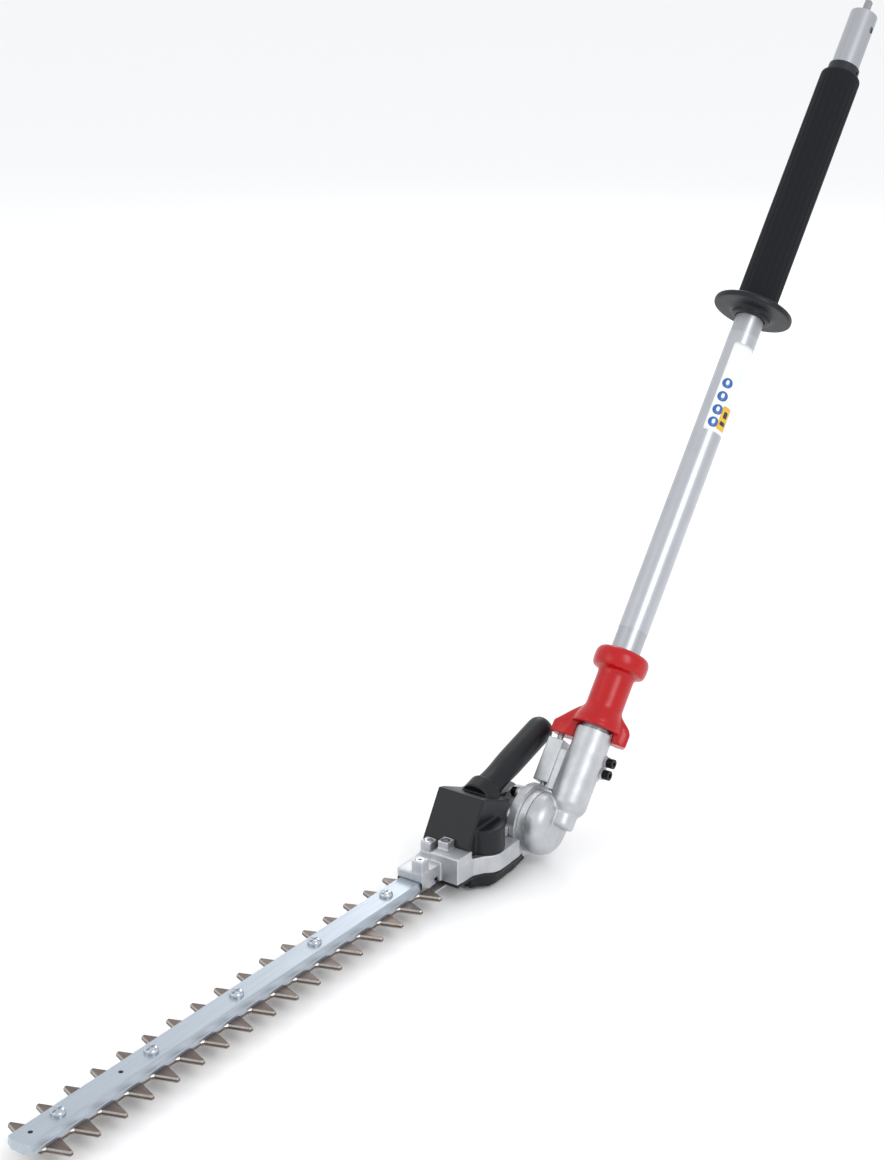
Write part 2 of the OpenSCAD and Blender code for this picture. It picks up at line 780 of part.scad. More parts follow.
module bar_bolts() {
    color("lightsteelblue") at_head() bolts_at() difference() {
        union() {
            z_rod(3, -11, bar_h);
            translate([0, 0, bar_h]) mirror([0, 0, 1]) domed(6, -4, 0, 3);
        }
        translate([-0.8, -10, bar_h + 3]) cube([1.6, 20, 3]);
        translate([-10, -0.8, bar_h + 3]) cube([20, 1.6, 3]);
    }
}

module bar_spacers() {
    color("gray") at_head() bolts_at() tube(4.5, 3.1, lower_low - 0.4, 0);
}

module bar_nuts() {
    color("gray") at_head() bolts_at() difference() {
        union() {
            z_rod(8, lower_low - 1.6, lower_low - 0.4);
            translate([0, 0, lower_low - 6]) cylinder(r = 5.8, h = 4.5, $fn = 6);
        }
        z_rod(3, -20, 0);
    }
}

// Spine of a blade, with the bolts' slots and the pin's hole
module spine_outline() {
    head_end = first_tooth - 12;
    tail = -root_len + 12;
    difference() {
        polygon([[head_end, -spine], [tail, -spine], [tail, -9], [-rod_len + 9, -9],
                 [-rod_len + 9, 9], [tail, 9], [tail, spine], [head_end, spine]]);
        for (i = [0 : bolts - 1]) translate([bolt_first + i * bolt_step, 0]) {
            translate([-throw - 0.6, 0]) circle(4.8);
            translate([throw + 0.6, 0]) circle(4.8);
            square([2 * throw + 1.2, 9.6], center = true);
        }
        translate([-rod_len, 0]) circle(4);
    }
}

// Both rows of teeth of a blade, each tooth on the spine's edge
module teeth_outlines() {
    reach = blade_half - spine;
    for (i = [0 : teeth - 1]) for (m = [-1, 1]) translate([first_tooth + i * pitch, 0])
        polygon([[-8.8, m * spine], [-1.8, m * (spine + reach - 0.6)], [-1.2, m * (spine + reach)],
                 [1.2, m * (spine + reach)], [1.8, m * (spine + reach - 0.6)], [8.8, m * spine]]);
}

module upper_blade() {
    color("rosybrown") at_head() translate([0, 0, upper_low]) linear_extrude(height = blade_t) spine_outline();
}

module upper_teeth() {
    color("rosybrown") at_head() translate([0, 0, upper_low]) linear_extrude(height = blade_t) teeth_outlines();
}

module lower_blade() {
    color("rosybrown") at_head() translate([0, 0, lower_low]) linear_extrude(height = blade_t) spine_outline();
}

module lower_teeth() {
    color("rosybrown") at_head() translate([0, 0, lower_low]) linear_extrude(height = blade_t) teeth_outlines();
}

module upper_pin() {
    color("gray") at_head() translate([-rod_len, 0, 0]) z_rod(4, upper_low, upper_rod_z + rod_t);
}

module lower_pin() {
    color("gray") at_head() translate([-rod_len, 0, 0]) z_rod(4, lower_rod_z, lower_top);
}

// Connecting rod from the blade pin to the eccentric's centre at side m
module con_rod(m) {
    far = throw * m;
    linear_extrude(height = rod_t) difference() {
        union() {
            translate([-rod_len, 0]) circle(8);
            translate([0, far]) circle(ring_r);
            polygon([[-rod_len, -5], [-10, far - 7], [-10, far + 7], [-rod_len, 5]]);
        }
        translate([-rod_len, 0]) circle(4 + run_fit);
        translate([0, far]) circle(ecc_r + 0.1);
    }
}

module upper_rod() {
    color("gray") at_head() translate([0, 0, upper_rod_z]) con_rod(1);
}

module lower_rod() {
    color("gray") at_head() translate([0, 0, lower_rod_z]) con_rod(-1);
}

module crank_gear() {
    color("gray") at_head() {
        translate([0, 0, gear_z]) linear_extrude(height = gear_t) gear_outline(crank_n, crank_r, 0.9, 1.3);
        z_rod(crank_shaft_r, gear_z + gear_t - 0.01, 25);
        z_rod(neck_r, lower_ecc_z - 0.1, gear_z + 0.01);
        z_rod(crank_shaft_r, floor_z - base_t + 0.2, lower_ecc_z);
    }
}

module eccentrics() {
    color("gray") at_head() for (e = [[upper_ecc_z, 1], [lower_ecc_z, -1]]) translate([0, 0, e[0]])
        linear_extrude(height = ecc_t) difference() {
            translate([0, throw * e[1]]) circle(ecc_r);
            circle(neck_r);
        }
}

module head_pinion() {
    color("gray") at_head() translate([crank_back, 0, 0]) {
        translate([0, 0, gear_z]) rotate([0, 0, 180 + 180 / pinion_n]) linear_extrude(height = gear_t)
            gear_outline(pinion_n, pinion_r, 0.9, 1.3);
        z_rod(upper_shaft_r, -7, 40);
    }
}

module head_bevel() {
    set_back = 1.6;
    color("gray") at_head() translate([crank_back, 0, blade_drop + set_back]) difference() {
        union() {
            rotate([0, 0, 180 / transfer_n]) bevel(transfer_n, transfer_r, 4, 0.7);
            z_rod(7, transfer_r - 0.1, transfer_r + 1.2);
        }
        z_rod(upper_shaft_r, 0, 20);
    }
}

main_tube();
tube_film();
grip_flange();
rear_grip();
stop_band();
band_screws();
shaft_bushes();
pole_case();
pinion_bearings();
clamp_screws();
case_screws();
case_cover();
lock_guide();
guide_cap();
lock_spring();
drive_shaft();
pole_pinion();
idler_gear();
pivot_shaft();
transfer_gear();
release_sleeve();
lock_pin();
notch_disc();
trunnion_ring();
trunnion_bearing();
flange_screws();
upper_case();
drum_bearing();
lower_case();
top_cover();
cover_screws();
tilt_handle();
handle_core();
crank_bearing();
shaft_bearings();
base_plate();
crank_bush();
bottom_cover();
bottom_screws();
nose_screws();
guide_bar();
bar_bolts();
bar_spacers();
bar_nuts();
crank_gear();
eccentrics();
head_pinion();
head_bevel();
upper_rod();
lower_rod();
upper_blade();
upper_teeth();
upper_pin();
lower_blade();
lower_teeth();
lower_pin();
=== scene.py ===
import json
import math

import bmesh
import bpy
import numpy as np
from mathutils.geometry import tessellate_polygon
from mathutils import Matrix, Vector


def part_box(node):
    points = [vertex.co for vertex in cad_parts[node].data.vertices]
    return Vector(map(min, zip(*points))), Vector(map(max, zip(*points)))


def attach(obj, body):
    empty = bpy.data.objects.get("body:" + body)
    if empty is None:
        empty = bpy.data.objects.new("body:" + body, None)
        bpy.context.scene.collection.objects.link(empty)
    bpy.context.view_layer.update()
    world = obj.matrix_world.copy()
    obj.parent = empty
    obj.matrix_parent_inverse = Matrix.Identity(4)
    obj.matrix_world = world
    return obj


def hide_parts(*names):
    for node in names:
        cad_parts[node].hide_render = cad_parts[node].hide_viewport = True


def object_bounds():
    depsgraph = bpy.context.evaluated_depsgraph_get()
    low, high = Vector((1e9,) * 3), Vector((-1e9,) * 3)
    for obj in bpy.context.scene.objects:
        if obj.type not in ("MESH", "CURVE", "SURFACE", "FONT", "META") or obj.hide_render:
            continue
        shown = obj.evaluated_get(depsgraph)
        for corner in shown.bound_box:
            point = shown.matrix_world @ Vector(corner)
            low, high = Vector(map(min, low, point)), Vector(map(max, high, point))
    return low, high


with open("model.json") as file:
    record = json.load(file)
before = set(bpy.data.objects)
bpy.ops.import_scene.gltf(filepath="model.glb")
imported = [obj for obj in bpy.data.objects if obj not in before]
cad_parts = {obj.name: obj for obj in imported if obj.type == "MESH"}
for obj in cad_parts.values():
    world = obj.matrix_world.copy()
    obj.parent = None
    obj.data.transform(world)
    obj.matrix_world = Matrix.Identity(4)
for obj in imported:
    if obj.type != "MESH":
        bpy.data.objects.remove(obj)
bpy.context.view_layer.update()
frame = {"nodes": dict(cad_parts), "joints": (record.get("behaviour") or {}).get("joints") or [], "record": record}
nodes = frame["nodes"]
print("stage: frame loaded,", len(nodes), "nodes")

mm = 0.001

pivotJoint = next(j for j in frame["joints"] if j["name"] == "head_pivot")
pivot = np.array(pivotJoint["pos_m"], float) * [1, 0, 1]
poleLength = float(np.linalg.norm([pivot[0], pivot[2]]))
# up the pole, whose top end is the frame's origin
along = -np.array([pivot[0], 0, pivot[2]]) / poleLength
# to the pole's underside
under = np.array([along[2], 0, -along[0]])
aside = np.array([0.0, 1.0, 0.0])
barLow = np.array(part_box("guide_bar")[0])
bushLow, bushHigh = (np.array(c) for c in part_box("crank_bush"))
crankSpot = np.array([*(bushLow + bushHigh)[:2] / 2, barLow[2]])


# Points from distances in mm: n to the underside, y across, s up the pole from the pivot.
def poleSpace(n, y, s):
    return pivot + mm * (n[..., None] * under + y[..., None] * aside + s[..., None] * along)


# Points from distances in mm along the frame's axes, from the crank axis at the blades' upper face.
def headSpace(x, y, z):
    return crankSpot + mm * np.stack([x, y, z], axis=-1)


# lens and sensor in mm, angles in degrees
view = {
    "place": (-2.0867, -0.9464, 0.2293),
    "azimuth": -54.98,
    "elevation": 20.27,
    "lens": 67.96,
    "sensor": 36,
}
camera = bpy.data.objects.new("camera", bpy.data.cameras.new("camera"))
bpy.context.scene.collection.objects.link(camera)
camera.data.sensor_width = view["sensor"]
camera.data.lens = view["lens"]
camera.location = view["place"]
camera.rotation_euler = (
    math.radians(90 - view["elevation"]), 0, math.radians(view["azimuth"]))
bpy.context.scene.camera = camera
bpy.context.scene.view_settings.view_transform = "Standard"


# sRGB hex to linear red, green, blue, alpha.
def tone(hexText):
    parts = [int(hexText[i : i + 2], 16) / 255 for i in (1, 3, 5)]
    return (*[c / 12.92 if c <= 0.04045 else ((c + 0.055) / 1.055) ** 2.4 for c in parts], 1.0)


# Adds a node; settings that name an input set it, the others set the node; links join inputs to sockets.
def add(tree, kind, links=None, **settings):
    made = tree.nodes.new(kind)
    for key, value in settings.items():
        if hasattr(made, key):
            setattr(made, key, value)
        else:
            made.inputs[key.replace("_", " ")].default_value = value
    for key, socket in (links or {}).items():
        tree.links.new(socket, made.inputs[key])
    return made


# Noise values where mottling starts and is full, and edge sharpness where wear does.
blend = {"mottleFrom": 0.35, "mottleFull": 0.7, "wearFrom": 0.52, "wearFull": 0.62}


# A surface from a base colour, with mottling (size mm, second colour, share),
# a bump grain (size mm, depth mm) and a second tone on worn edges (colour, share).
def finishOf(name, colour, roughness, metallic=0.0, shader=None, mottle=None, grain=None,
             stretch=None, turn=0.0, wear=None, roughSpread=0.08):
    material = bpy.data.materials.new(name)
    material.use_nodes = True
    tree = material.node_tree
    surface = tree.nodes["Principled BSDF"]
    surface.inputs["Base Color"].default_value = tone(colour)
    surface.inputs["Roughness"].default_value = roughness
    surface.inputs["Metallic"].default_value = metallic
    for key, value in (shader or {}).items():
        surface.inputs[key].default_value = value
    where = add(tree, "ShaderNodeTexCoord").outputs["Object"]
    if stretch:
        turned = add(tree, "ShaderNodeMapping", {"Vector": where}, vector_type="POINT")
        turned.inputs["Rotation"].default_value = (0, turn, 0)
        place = add(tree, "ShaderNodeMapping", {"Vector": turned.outputs[0]}, vector_type="POINT")
        place.inputs["Scale"].default_value = stretch
        where = place.outputs[0]
    colourNow = None
    if mottle:
        size, second, share = mottle
        blot = add(tree, "ShaderNodeTexNoise", {"Vector": where},
                   Scale=1 / (size * mm), Detail=3.0, Roughness=0.6)
        amount = add(tree, "ShaderNodeMapRange", {"Value": blot.outputs["Fac"]})
        amount.inputs["From Min"].default_value = blend["mottleFrom"]
        amount.inputs["From Max"].default_value = blend["mottleFull"]
        amount.inputs["To Max"].default_value = share
        mix = add(tree, "ShaderNodeMix", {"Factor": amount.outputs[0]}, data_type="RGBA")
        colourInputs = [s for s in mix.inputs if s.type == "RGBA"]
        colourInputs[0].default_value = tone(colour)
        colourInputs[1].default_value = tone(second)
        colourNow = [s for s in mix.outputs if s.type == "RGBA"][0]
        rough = add(tree, "ShaderNodeMapRange", {"Value": blot.outputs["Fac"]})
        rough.inputs["To Min"].default_value = roughness - roughSpread
        rough.inputs["To Max"].default_value = roughness + roughSpread
        tree.links.new(rough.outputs[0], surface.inputs["Roughness"])
    if wear:
        edge = add(tree, "ShaderNodeNewGeometry").outputs["Pointiness"]
        worn = add(tree, "ShaderNodeMapRange", {"Value": edge})
        worn.inputs["From Min"].default_value = blend["wearFrom"]
        worn.inputs["From Max"].default_value = blend["wearFull"]
        worn.inputs["To Max"].default_value = wear[1]
        mix = add(tree, "ShaderNodeMix", {"Factor": worn.outputs[0]}, data_type="RGBA")
        colourInputs = [s for s in mix.inputs if s.type == "RGBA"]
        if colourNow:
            tree.links.new(colourNow, colourInputs[0])
        else:
            colourInputs[0].default_value = tone(colour)
        colourInputs[1].default_value = tone(wear[0])
        colourNow = [s for s in mix.outputs if s.type == "RGBA"][0]
    if colourNow:
        tree.links.new(colourNow, surface.inputs["Base Color"])
    if grain:
        size, depth = grain
        speck = add(tree, "ShaderNodeTexNoise", {"Vector": where},
                    Scale=1 / (size * mm), Detail=2.0)
        bump = add(tree, "ShaderNodeBump", {"Height": speck.outputs["Fac"]}, Strength=1.0)
        bump.inputs["Distance"].default_value = depth * mm
        tree.links.new(bump.outputs[0], surface.inputs["Normal"])
    return material


poleTurn = math.atan2(along[0], along[2])
finishes = {
    # drawn and anodised tube: soft lengthwise streaks in a satin silver
    "tube": finishOf("anodisedAluminiumTube", "#b3b6ba", 0.38, 1.0, mottle=(1.6, "#a6a9ae", 0.6),
                     stretch=(1, 1, 0.03), turn=-poleTurn, grain=(0.9, 0.004)),
    # shot-blasted die casting: even pale grey, fine pits, brighter on the edges
    "casting": finishOf("blastedCastAluminium", "#c3c5c8", 0.42, 0.85, mottle=(14, "#aeb1b5", 0.7),
                        grain=(0.7, 0.05), wear=("#dcdee0", 0.7)),
    # injection-moulded gloss plastic: deep red with a clear, slightly wavy shine
    "red": finishOf("mouldedRedPlastic", "#b3040b", 0.27, mottle=(9, "#a2040a", 0.6), grain=(5, 0.03),
                    wear=("#c01c23", 0.25), shader={"Specular IOR Level": 0.4}),
    # glass-filled nylon with a spark-eroded skin: blue-black, satin
    "black_plastic": finishOf("mouldedBlackNylon", "#0b0e13", 0.42, mottle=(11, "#101319", 0.8),
                              grain=(0.8, 0.03), wear=("#2a2f39", 0.5), shader={"Specular IOR Level": 0.35}),
    # closed-cell foam: matt, with small open cells at the skin
    "foam": finishOf("closedCellFoam", "#0b0e13", 0.8, mottle=(6, "#12151b", 0.8), grain=(1.1, 0.16),
                     shader={"Specular IOR Level": 0.3}),
    # black oxide on hardened screws: dark, faintly metallic
    "black_steel": finishOf("blackOxideSteel", "#17181b", 0.36, 0.7, mottle=(2, "#26282b", 0.7),
                            grain=(0.5, 0.01)),
    # turned steel of the shafts, gears and bearings
    "steel": finishOf("machinedSteel", "#a3a5a7", 0.28, 1.0, mottle=(3, "#8c8e91", 0.7), grain=(0.5, 0.006)),
    # bright zinc plating: bluish silver, a little cloudy
    "zinc": finishOf("zincPlatedSteel", "#c3c8cf", 0.26, 1.0, mottle=(4, "#a9afb8", 0.7), grain=(0.8, 0.01)),
    # hardened blade steel with a browned, oily skin
    "blade": finishOf("brownedBladeSteel", "#7c7069", 0.34, 0.85, mottle=(7, "#5b4f49", 0.8),
                      stretch=(1, 0.15, 1), grain=(0.8, 0.01)),
    # extruded and anodised guide bar: cool grey with faint lengthwise lines
    "bar": finishOf("anodisedGuideBar", "#b4bdc6", 0.36, 0.85, mottle=(1.2, "#a2abb5", 0.6),
                    stretch=(0.03, 1, 1), grain=(0.9, 0.006)),
    # sintered bronze bush: warm and dull
    "bronze": finishOf("sinteredBronze", "#a9793c", 0.45, 1.0, mottle=(1, "#8b6230", 0.7), grain=(0.5, 0.02)),
    # clear film over the tube: a slightly whiter, glossier silver
    "film": finishOf("clearFilm", "#b9bcc1", 0.34, 0.8, mottle=(20, "#aeb1b6", 0.6), grain=(8, 0.01),
                     shader={"Coat Weight": 0.3, "Coat Roughness": 0.15}),
    # plain grey nylon of the lock's cap
    "grey_plastic": finishOf("mouldedGreyNylon", "#5a5e66", 0.45, mottle=(6, "#4e525a", 0.7),
                             grain=(0.7, 0.02)),
}
# fresh grinding: brighter than the browned skin beside it
groundSteel = finishOf("groundBladeEdge", "#b7b2ad", 0.3, 0.95, mottle=(2, "#958e88", 0.7),
                       grain=(0.5, 0.01))
# printed vinyl and its inks: even, satin, barely textured
labelWhite = finishOf("printedWhiteVinyl", "#e9ebec", 0.3, mottle=(12, "#dfe1e3", 0.6),
                      grain=(4, 0.01))
labelBlue = finishOf("blueInk", "#2a62a8", 0.3, mottle=(3, "#245798", 0.6), grain=(4, 0.01))
labelYellow = finishOf("yellowInk", "#e3b52a", 0.3, mottle=(3, "#d4a624", 0.6), grain=(4, 0.01))
labelDark = finishOf("darkInk", "#2b2d30", 0.35, mottle=(3, "#36383b", 0.6), grain=(4, 0.01))
print("stage: materials made")

slotOf = {s["node"]: s["material_slot"] for s in frame["record"]["subparts"]}
for nodeName, node in nodes.items():
    node.data.materials.clear()
    node.data.materials.append(finishes[slotOf[nodeName]])


# A mesh object from points and faces, doubles merged and faces turned outwards.
def makePiece(name, points, faces, material):
    mesh = bpy.data.meshes.new(name)
    mesh.from_pydata(points.reshape(-1, 3).tolist(), [], faces.tolist())
    shaped = bmesh.new()
    shaped.from_mesh(mesh)
    bmesh.ops.remove_doubles(shaped, verts=shaped.verts, dist=1e-6)
    bmesh.ops.recalc_face_normals(shaped, faces=shaped.faces)
    shaped.to_mesh(mesh)
    shaped.free()
    mesh.materials.append(material)
    mesh.polygons.foreach_set("use_smooth", [True] * len(mesh.polygons))
    piece = bpy.data.objects.new(name, mesh)
    bpy.context.scene.collection.objects.link(piece)
    return piece


# Quads of a grid of points, joined round its columns and, for a ring, round its rows.
def gridFaces(rows, columns, closeRows=False):
    i = np.arange(rows if closeRows else rows - 1)
    j = np.arange(columns)
    a, b = np.meshgrid(i, j, indexing="ij")
    c, d = (a + 1) % rows, (b + 1) % columns
    corners = [a * columns + b, a * columns + d, c * columns + d, c * columns + b]
    return np.stack(corners, axis=-1).reshape(-1, 4)


# Cuts each corner of a closed profile a quarter of the way in, some times over.
def rounded(profile, times=2):
    for _ in range(times):
        after = np.roll(profile, -1, axis=0)
        near, far = 0.75 * profile + 0.25 * after, 0.25 * profile + 0.75 * after
        profile = np.stack([near, far], axis=1)
        profile = profile.reshape(-1, *profile.shape[2:])
    return profile


# A profile of (radius, height) in mm turned about an axis;
# flute gives how the radius changes with height and angle.
def turnedPiece(name, profile, material, steps=96, flute=None, times=2, space=poleSpace):
    ring = rounded(np.array(profile, float), times)
    angle = np.linspace(0, 2 * np.pi, steps, endpoint=False)
    radius = np.repeat(ring[:, :1], steps, axis=1)
    height = np.repeat(ring[:, 1:], steps, axis=1)
    if flute:
        radius = radius + flute(radius, height, angle[None, :])
    points = space(radius * np.cos(angle), radius * np.sin(angle), height)
    return makePiece(name, points, gridFaces(len(ring), steps, closeRows=True), material)


# Moves each point towards the mean of its neighbours and part of the way back,
# so that edges round off and sizes stay.
def smoothed(mesh, rounds, back):
    count = len(mesh.vertices)
    edges = np.zeros(len(mesh.edges) * 2, np.int64)
    mesh.edges.foreach_get("vertices", edges)
    edges = edges.reshape(-1, 2)
    place = np.zeros(count * 3)
    mesh.vertices.foreach_get("co", place)
    place = place.reshape(-1, 3)
    degree = np.bincount(edges.ravel(), minlength=count)[:, None]
    forward = 0.6
    for _ in range(rounds):
        for step in (forward, -back):
            total = np.zeros_like(place)
            for axis in range(3):
                total[:, axis] = np.bincount(edges[:, 0], place[edges[:, 1], axis], count)
                total[:, axis] += np.bincount(edges[:, 1], place[edges[:, 0], axis], count)
            place = place + step * (total / degree - place)
    mesh.vertices.foreach_set("co", place.ravel())
    mesh.update()


# A copy of a CAD node, remeshed at the voxel size in mm and smoothed,
# which gives it the rounded edges of a casting or moulding.
def castPiece(name, nodeName, voxel, rounds, back, material):
    joined = bmesh.new()
    joined.from_mesh(nodes[nodeName].data)
    bmesh.ops.remove_doubles(joined, verts=joined.verts, dist=2e-6)
    mesh = bpy.data.meshes.new(name)
    joined.to_mesh(mesh)
    joined.free()
    piece = bpy.data.objects.new(name, mesh)
    bpy.context.scene.collection.objects.link(piece)
    remesh = piece.modifiers.new("voxels", "REMESH")
    remesh.mode = "VOXEL"
    remesh.voxel_size = voxel * mm
    graph = bpy.context.evaluated_depsgraph_get()
    final = bpy.data.meshes.new_from_object(piece.evaluated_get(graph))
    piece.modifiers.clear()
    piece.data = final
    smoothed(final, rounds, back)
    final.materials.clear()
    final.materials.append(material)
    final.polygons.foreach_set("material_index", [0] * len(final.polygons))
    final.polygons.foreach_set("use_smooth", [True] * len(final.polygons))
    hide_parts(nodeName)
    return piece


castings = {
    # piece: CAD node, voxel in mm, smoothing rounds, share moved back each round, body
    "poleHousing": ("pole_case", 0.75, 18, 0.56, "pole"),
    "lockColumn": ("lock_guide", 0.6, 5, 0.56, "pole"),
    "knuckleCasting": ("upper_case", 0.75, 7, 0.57, "head"),
    "gearCase": ("lower_case", 0.75, 10, 0.57, "head"),
    "topHousing": ("top_cover", 0.8, 30, 0.5, "head"),
    "underCover": ("bottom_cover", 0.75, 8, 0.57, "head"),
}
for pieceName, (nodeName, voxel, rounds, back, bodyName) in castings.items():
    piece = castPiece(pieceName, nodeName, voxel, rounds, back, finishes[slotOf[nodeName]])
    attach(piece, bodyName)
print("stage: castings rounded")

# radii, heights above the pivot and wing sizes in mm, the turn in degrees
sleeve = {
    "bore": 14.25,
    "roomBore": 18.1,       # over the pole housing
    "roomTop": 97.6,
    "body": 17.5,
    "collar": 26.0,
    "collarLow": 155.0,
    "top": 175.0,
    "hood": 23.4,
    "rim": 98.5,            # lower rim between the wings
    "armReach": 41.0,       # wing that carries the lock pin
    "armHalf": 11.5,
    "armLow": 84.2,
    "fingerReach": 31.0,    # finger wing on the other side
    "fingerHalf": 10.0,
    "fingerLow": 90.0,
    "fingerTurn": -58.0,
    "neckLow": 126.0,       # end of the straight body
    "slopeTop": 118.0,      # where it starts to widen
    "slopeMiddle": 113.0,
    "lip": 102.5,           # top edge of the hood
    "armLipDrop": 6.5,
    "fingerLipRise": 1.5,
    "armFrom": 21.0,        # reach where each wing starts, and the reach it grows over
    "armGrow": 8.0,
    "fingerFrom": 20.0,
    "fingerGrow": 7.0,
}


# How far a straight-sided wing reaches at an angle: its end or its side,
# whichever comes first, with the corner between them rounded off.
def reach(angle, middle, length, half):
    off = (angle - middle + np.pi) % (2 * np.pi) - np.pi
    leastCos = 0.05
    ahead = np.cos(off) > leastCos
    end = length / np.maximum(np.cos(off), leastCos)
    side = half / np.maximum(np.abs(np.sin(off)), 1e-3)
    both = (end ** -8 + side ** -8) ** (-1 / 8)
    return np.where(ahead, both, 0)


# A closed profile at each angle: bore, collar, body, slope out to the hood or a wing,
# rim, and the room over the housing.
def sleeveShell(steps=240):
    k = sleeve
    angle = np.linspace(0, 2 * np.pi, steps, endpoint=False)
    arm = reach(angle, np.pi / 2, k["armReach"], k["armHalf"])
    finger = reach(angle, math.radians(k["fingerTurn"]), k["fingerReach"], k["fingerHalf"])
    hood = np.full(steps, k["hood"])
    wide = (hood ** 10 + arm ** 10 + finger ** 10) ** 0.1
    wide = np.minimum(wide, np.maximum(k["hood"] * 1.04, np.maximum(arm, finger)))
    armShare = np.clip((arm - k["armFrom"]) / k["armGrow"], 0, 1)
    fingerShare = np.clip((finger - k["fingerFrom"]) / k["fingerGrow"], 0, 1)
    armShare, fingerShare = (s * s * (3 - 2 * s) for s in (armShare, fingerShare))
    low = k["rim"] - (k["rim"] - k["armLow"]) * armShare
    low = low - (k["rim"] - k["fingerLow"]) * fingerShare
    lip = k["lip"] + k["fingerLipRise"] * fingerShare - k["armLipDrop"] * armShare
    one = np.ones(steps)
    room = np.maximum(k["roomTop"], low + 1.2)
    rows = [
        (k["bore"] * one, k["top"] * one),
        (k["bore"] * one + 0.5, k["top"] * one),
        ((k["collar"] - 5) * one, k["top"] * one),
        ((k["collar"] - 1.8) * one, (k["top"] - 1.6) * one),
        (k["collar"] * one, (k["top"] - 6) * one),
        (k["collar"] * one, (k["collarLow"] + 6) * one),
        ((k["collar"] - 1.5) * one, (k["collarLow"] + 1) * one),
        ((k["body"] + 3) * one, k["collarLow"] * one),
        (k["body"] * one, (k["collarLow"] - 2) * one),
        (k["body"] * one, (k["collarLow"] - 12) * one),
        (k["body"] * one, k["neckLow"] * one),
        (k["body"] * one, k["slopeTop"] * one),
        (k["body"] + (wide - k["body"]) * 0.35, k["slopeMiddle"] * one - 1.5 * armShare),
        (k["body"] + (wide - k["body"]) * 0.8, (lip + 4)),
        (wide - 0.6, lip),
        (wide, lip - 1.5),
        (wide, low + 1.2),
        (wide - 0.8, low),
        (np.minimum(wide - 1.5, k["roomBore"] + 1.6), low),
        (k["roomBore"] * one, low + 0.3),
        (k["roomBore"] * one, low * 0.3 + room * 0.7),
        (k["roomBore"] * one, room),
        (k["bore"] * one + 0.6, room),
        (k["bore"] * one, room + 0.3),
        (k["bore"] * one, 130 * one),
    ]
    profile = rounded(np.array(rows, float).transpose(0, 2, 1), 2)
    radius, height = profile[..., 0], profile[..., 1]
    points = poleSpace(radius * np.cos(angle), radius * np.sin(angle), height)
    faces = gridFaces(len(profile), steps, closeRows=True)
    return makePiece("releaseSleeve", points, faces, finishes["red"])


shell = sleeveShell()
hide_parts("release_sleeve")
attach(shell, "sleeve")
print("stage: sleeve")

grip = {
    "low": 540.0,       # ends of the foam, from the pivot
    "top": 802.0,
    "bore": 14.05,
    "radius": 20.0,
    "flutes": 20,
    "depth": 0.7,
}


# Shallow lengthwise flutes that fade out towards both ends, on the outside only.
def fluted(radius, height, angle):
    ends = np.clip((height - grip["low"] - 6) / 14, 0, 1)
    ends = ends * np.clip((grip["top"] - 8 - height) / 12, 0, 1)
    outside = radius > grip["radius"] - 1.2
    return -grip["depth"] * ends * outside * (0.5 + 0.5 * np.cos(grip["flutes"] * angle)) ** 3


outer = grip["radius"]
foamProfile = (
    [(grip["bore"], grip["low"]), (outer - 1, grip["low"]), (outer, grip["low"] + 1.5)]
    + [(outer, s) for s in np.linspace(grip["low"] + 8, grip["top"] - 8, 24)]
    + [(outer, grip["top"] - 3), (outer - 1.2, grip["top"] - 0.6), (outer - 4, grip["top"]),
       (grip["bore"], grip["top"])]
)
foam = turnedPiece("rearGrip", foamProfile, finishes["foam"], steps=200, flute=fluted)
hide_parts("rear_grip")
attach(foam, "pole")

flangeProfile = [
    (14.05, 528), (17, 528), (18.6, 528.6), (19, 530), (19.3, 532), (22, 533.8), (30, 534),
    (37, 534), (38.6, 534.4), (39, 536), (39, 538), (38.4, 539.6), (36.5, 540), (33, 539.4),
    (24, 539.2), (21, 540), (14.05, 540),
]
flange = turnedPiece("gripFlange", flangeProfile, finishes["black_plastic"], steps=160)
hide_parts("grip_flange")
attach(flange, "pole")

handle = {
    # on its axis, inside the cover, in mm from the crank axis
    "start": (-14.4, -8.0, 53.0),
    "rise": 16.0,
    "low": 8.2,
    "end": 119.0,
    "radius": 13.0,
    "bore": 6.05,
    "ribs": 3.6,                    # spacing of the ribs on its underside
    "ribDepth": 0.35,
}


# Points round the handle's axis: across points down, side across the frame, height out of the cover.
def handleSpace(across, side, height):
    turn = math.radians(handle["rise"])
    start = handle["start"]
    x = start[0] + height * math.cos(turn) + across * math.sin(turn)
    z = start[2] + height * math.sin(turn) - across * math.cos(turn)
    return headSpace(x, start[1] + side, z)


# Fine ribs across the underside of the grip, and a slight waist near the cover.
def ribbed(radius, height, angle):
    reachOut = np.clip((height - 26) / 8, 0, 1) * np.clip((102 - height) / 8, 0, 1)
    outside = radius > handle["radius"] - 1.5
    below = np.clip(np.cos(angle) + 0.35, 0, 1)
    ribs = -handle["ribDepth"] * below * (0.5 + 0.5 * np.cos(2 * np.pi * height / handle["ribs"]))
    waist = -0.9 * np.exp(-(((height - 34) / 16) ** 2))
    return outside * (reachOut * ribs + waist)


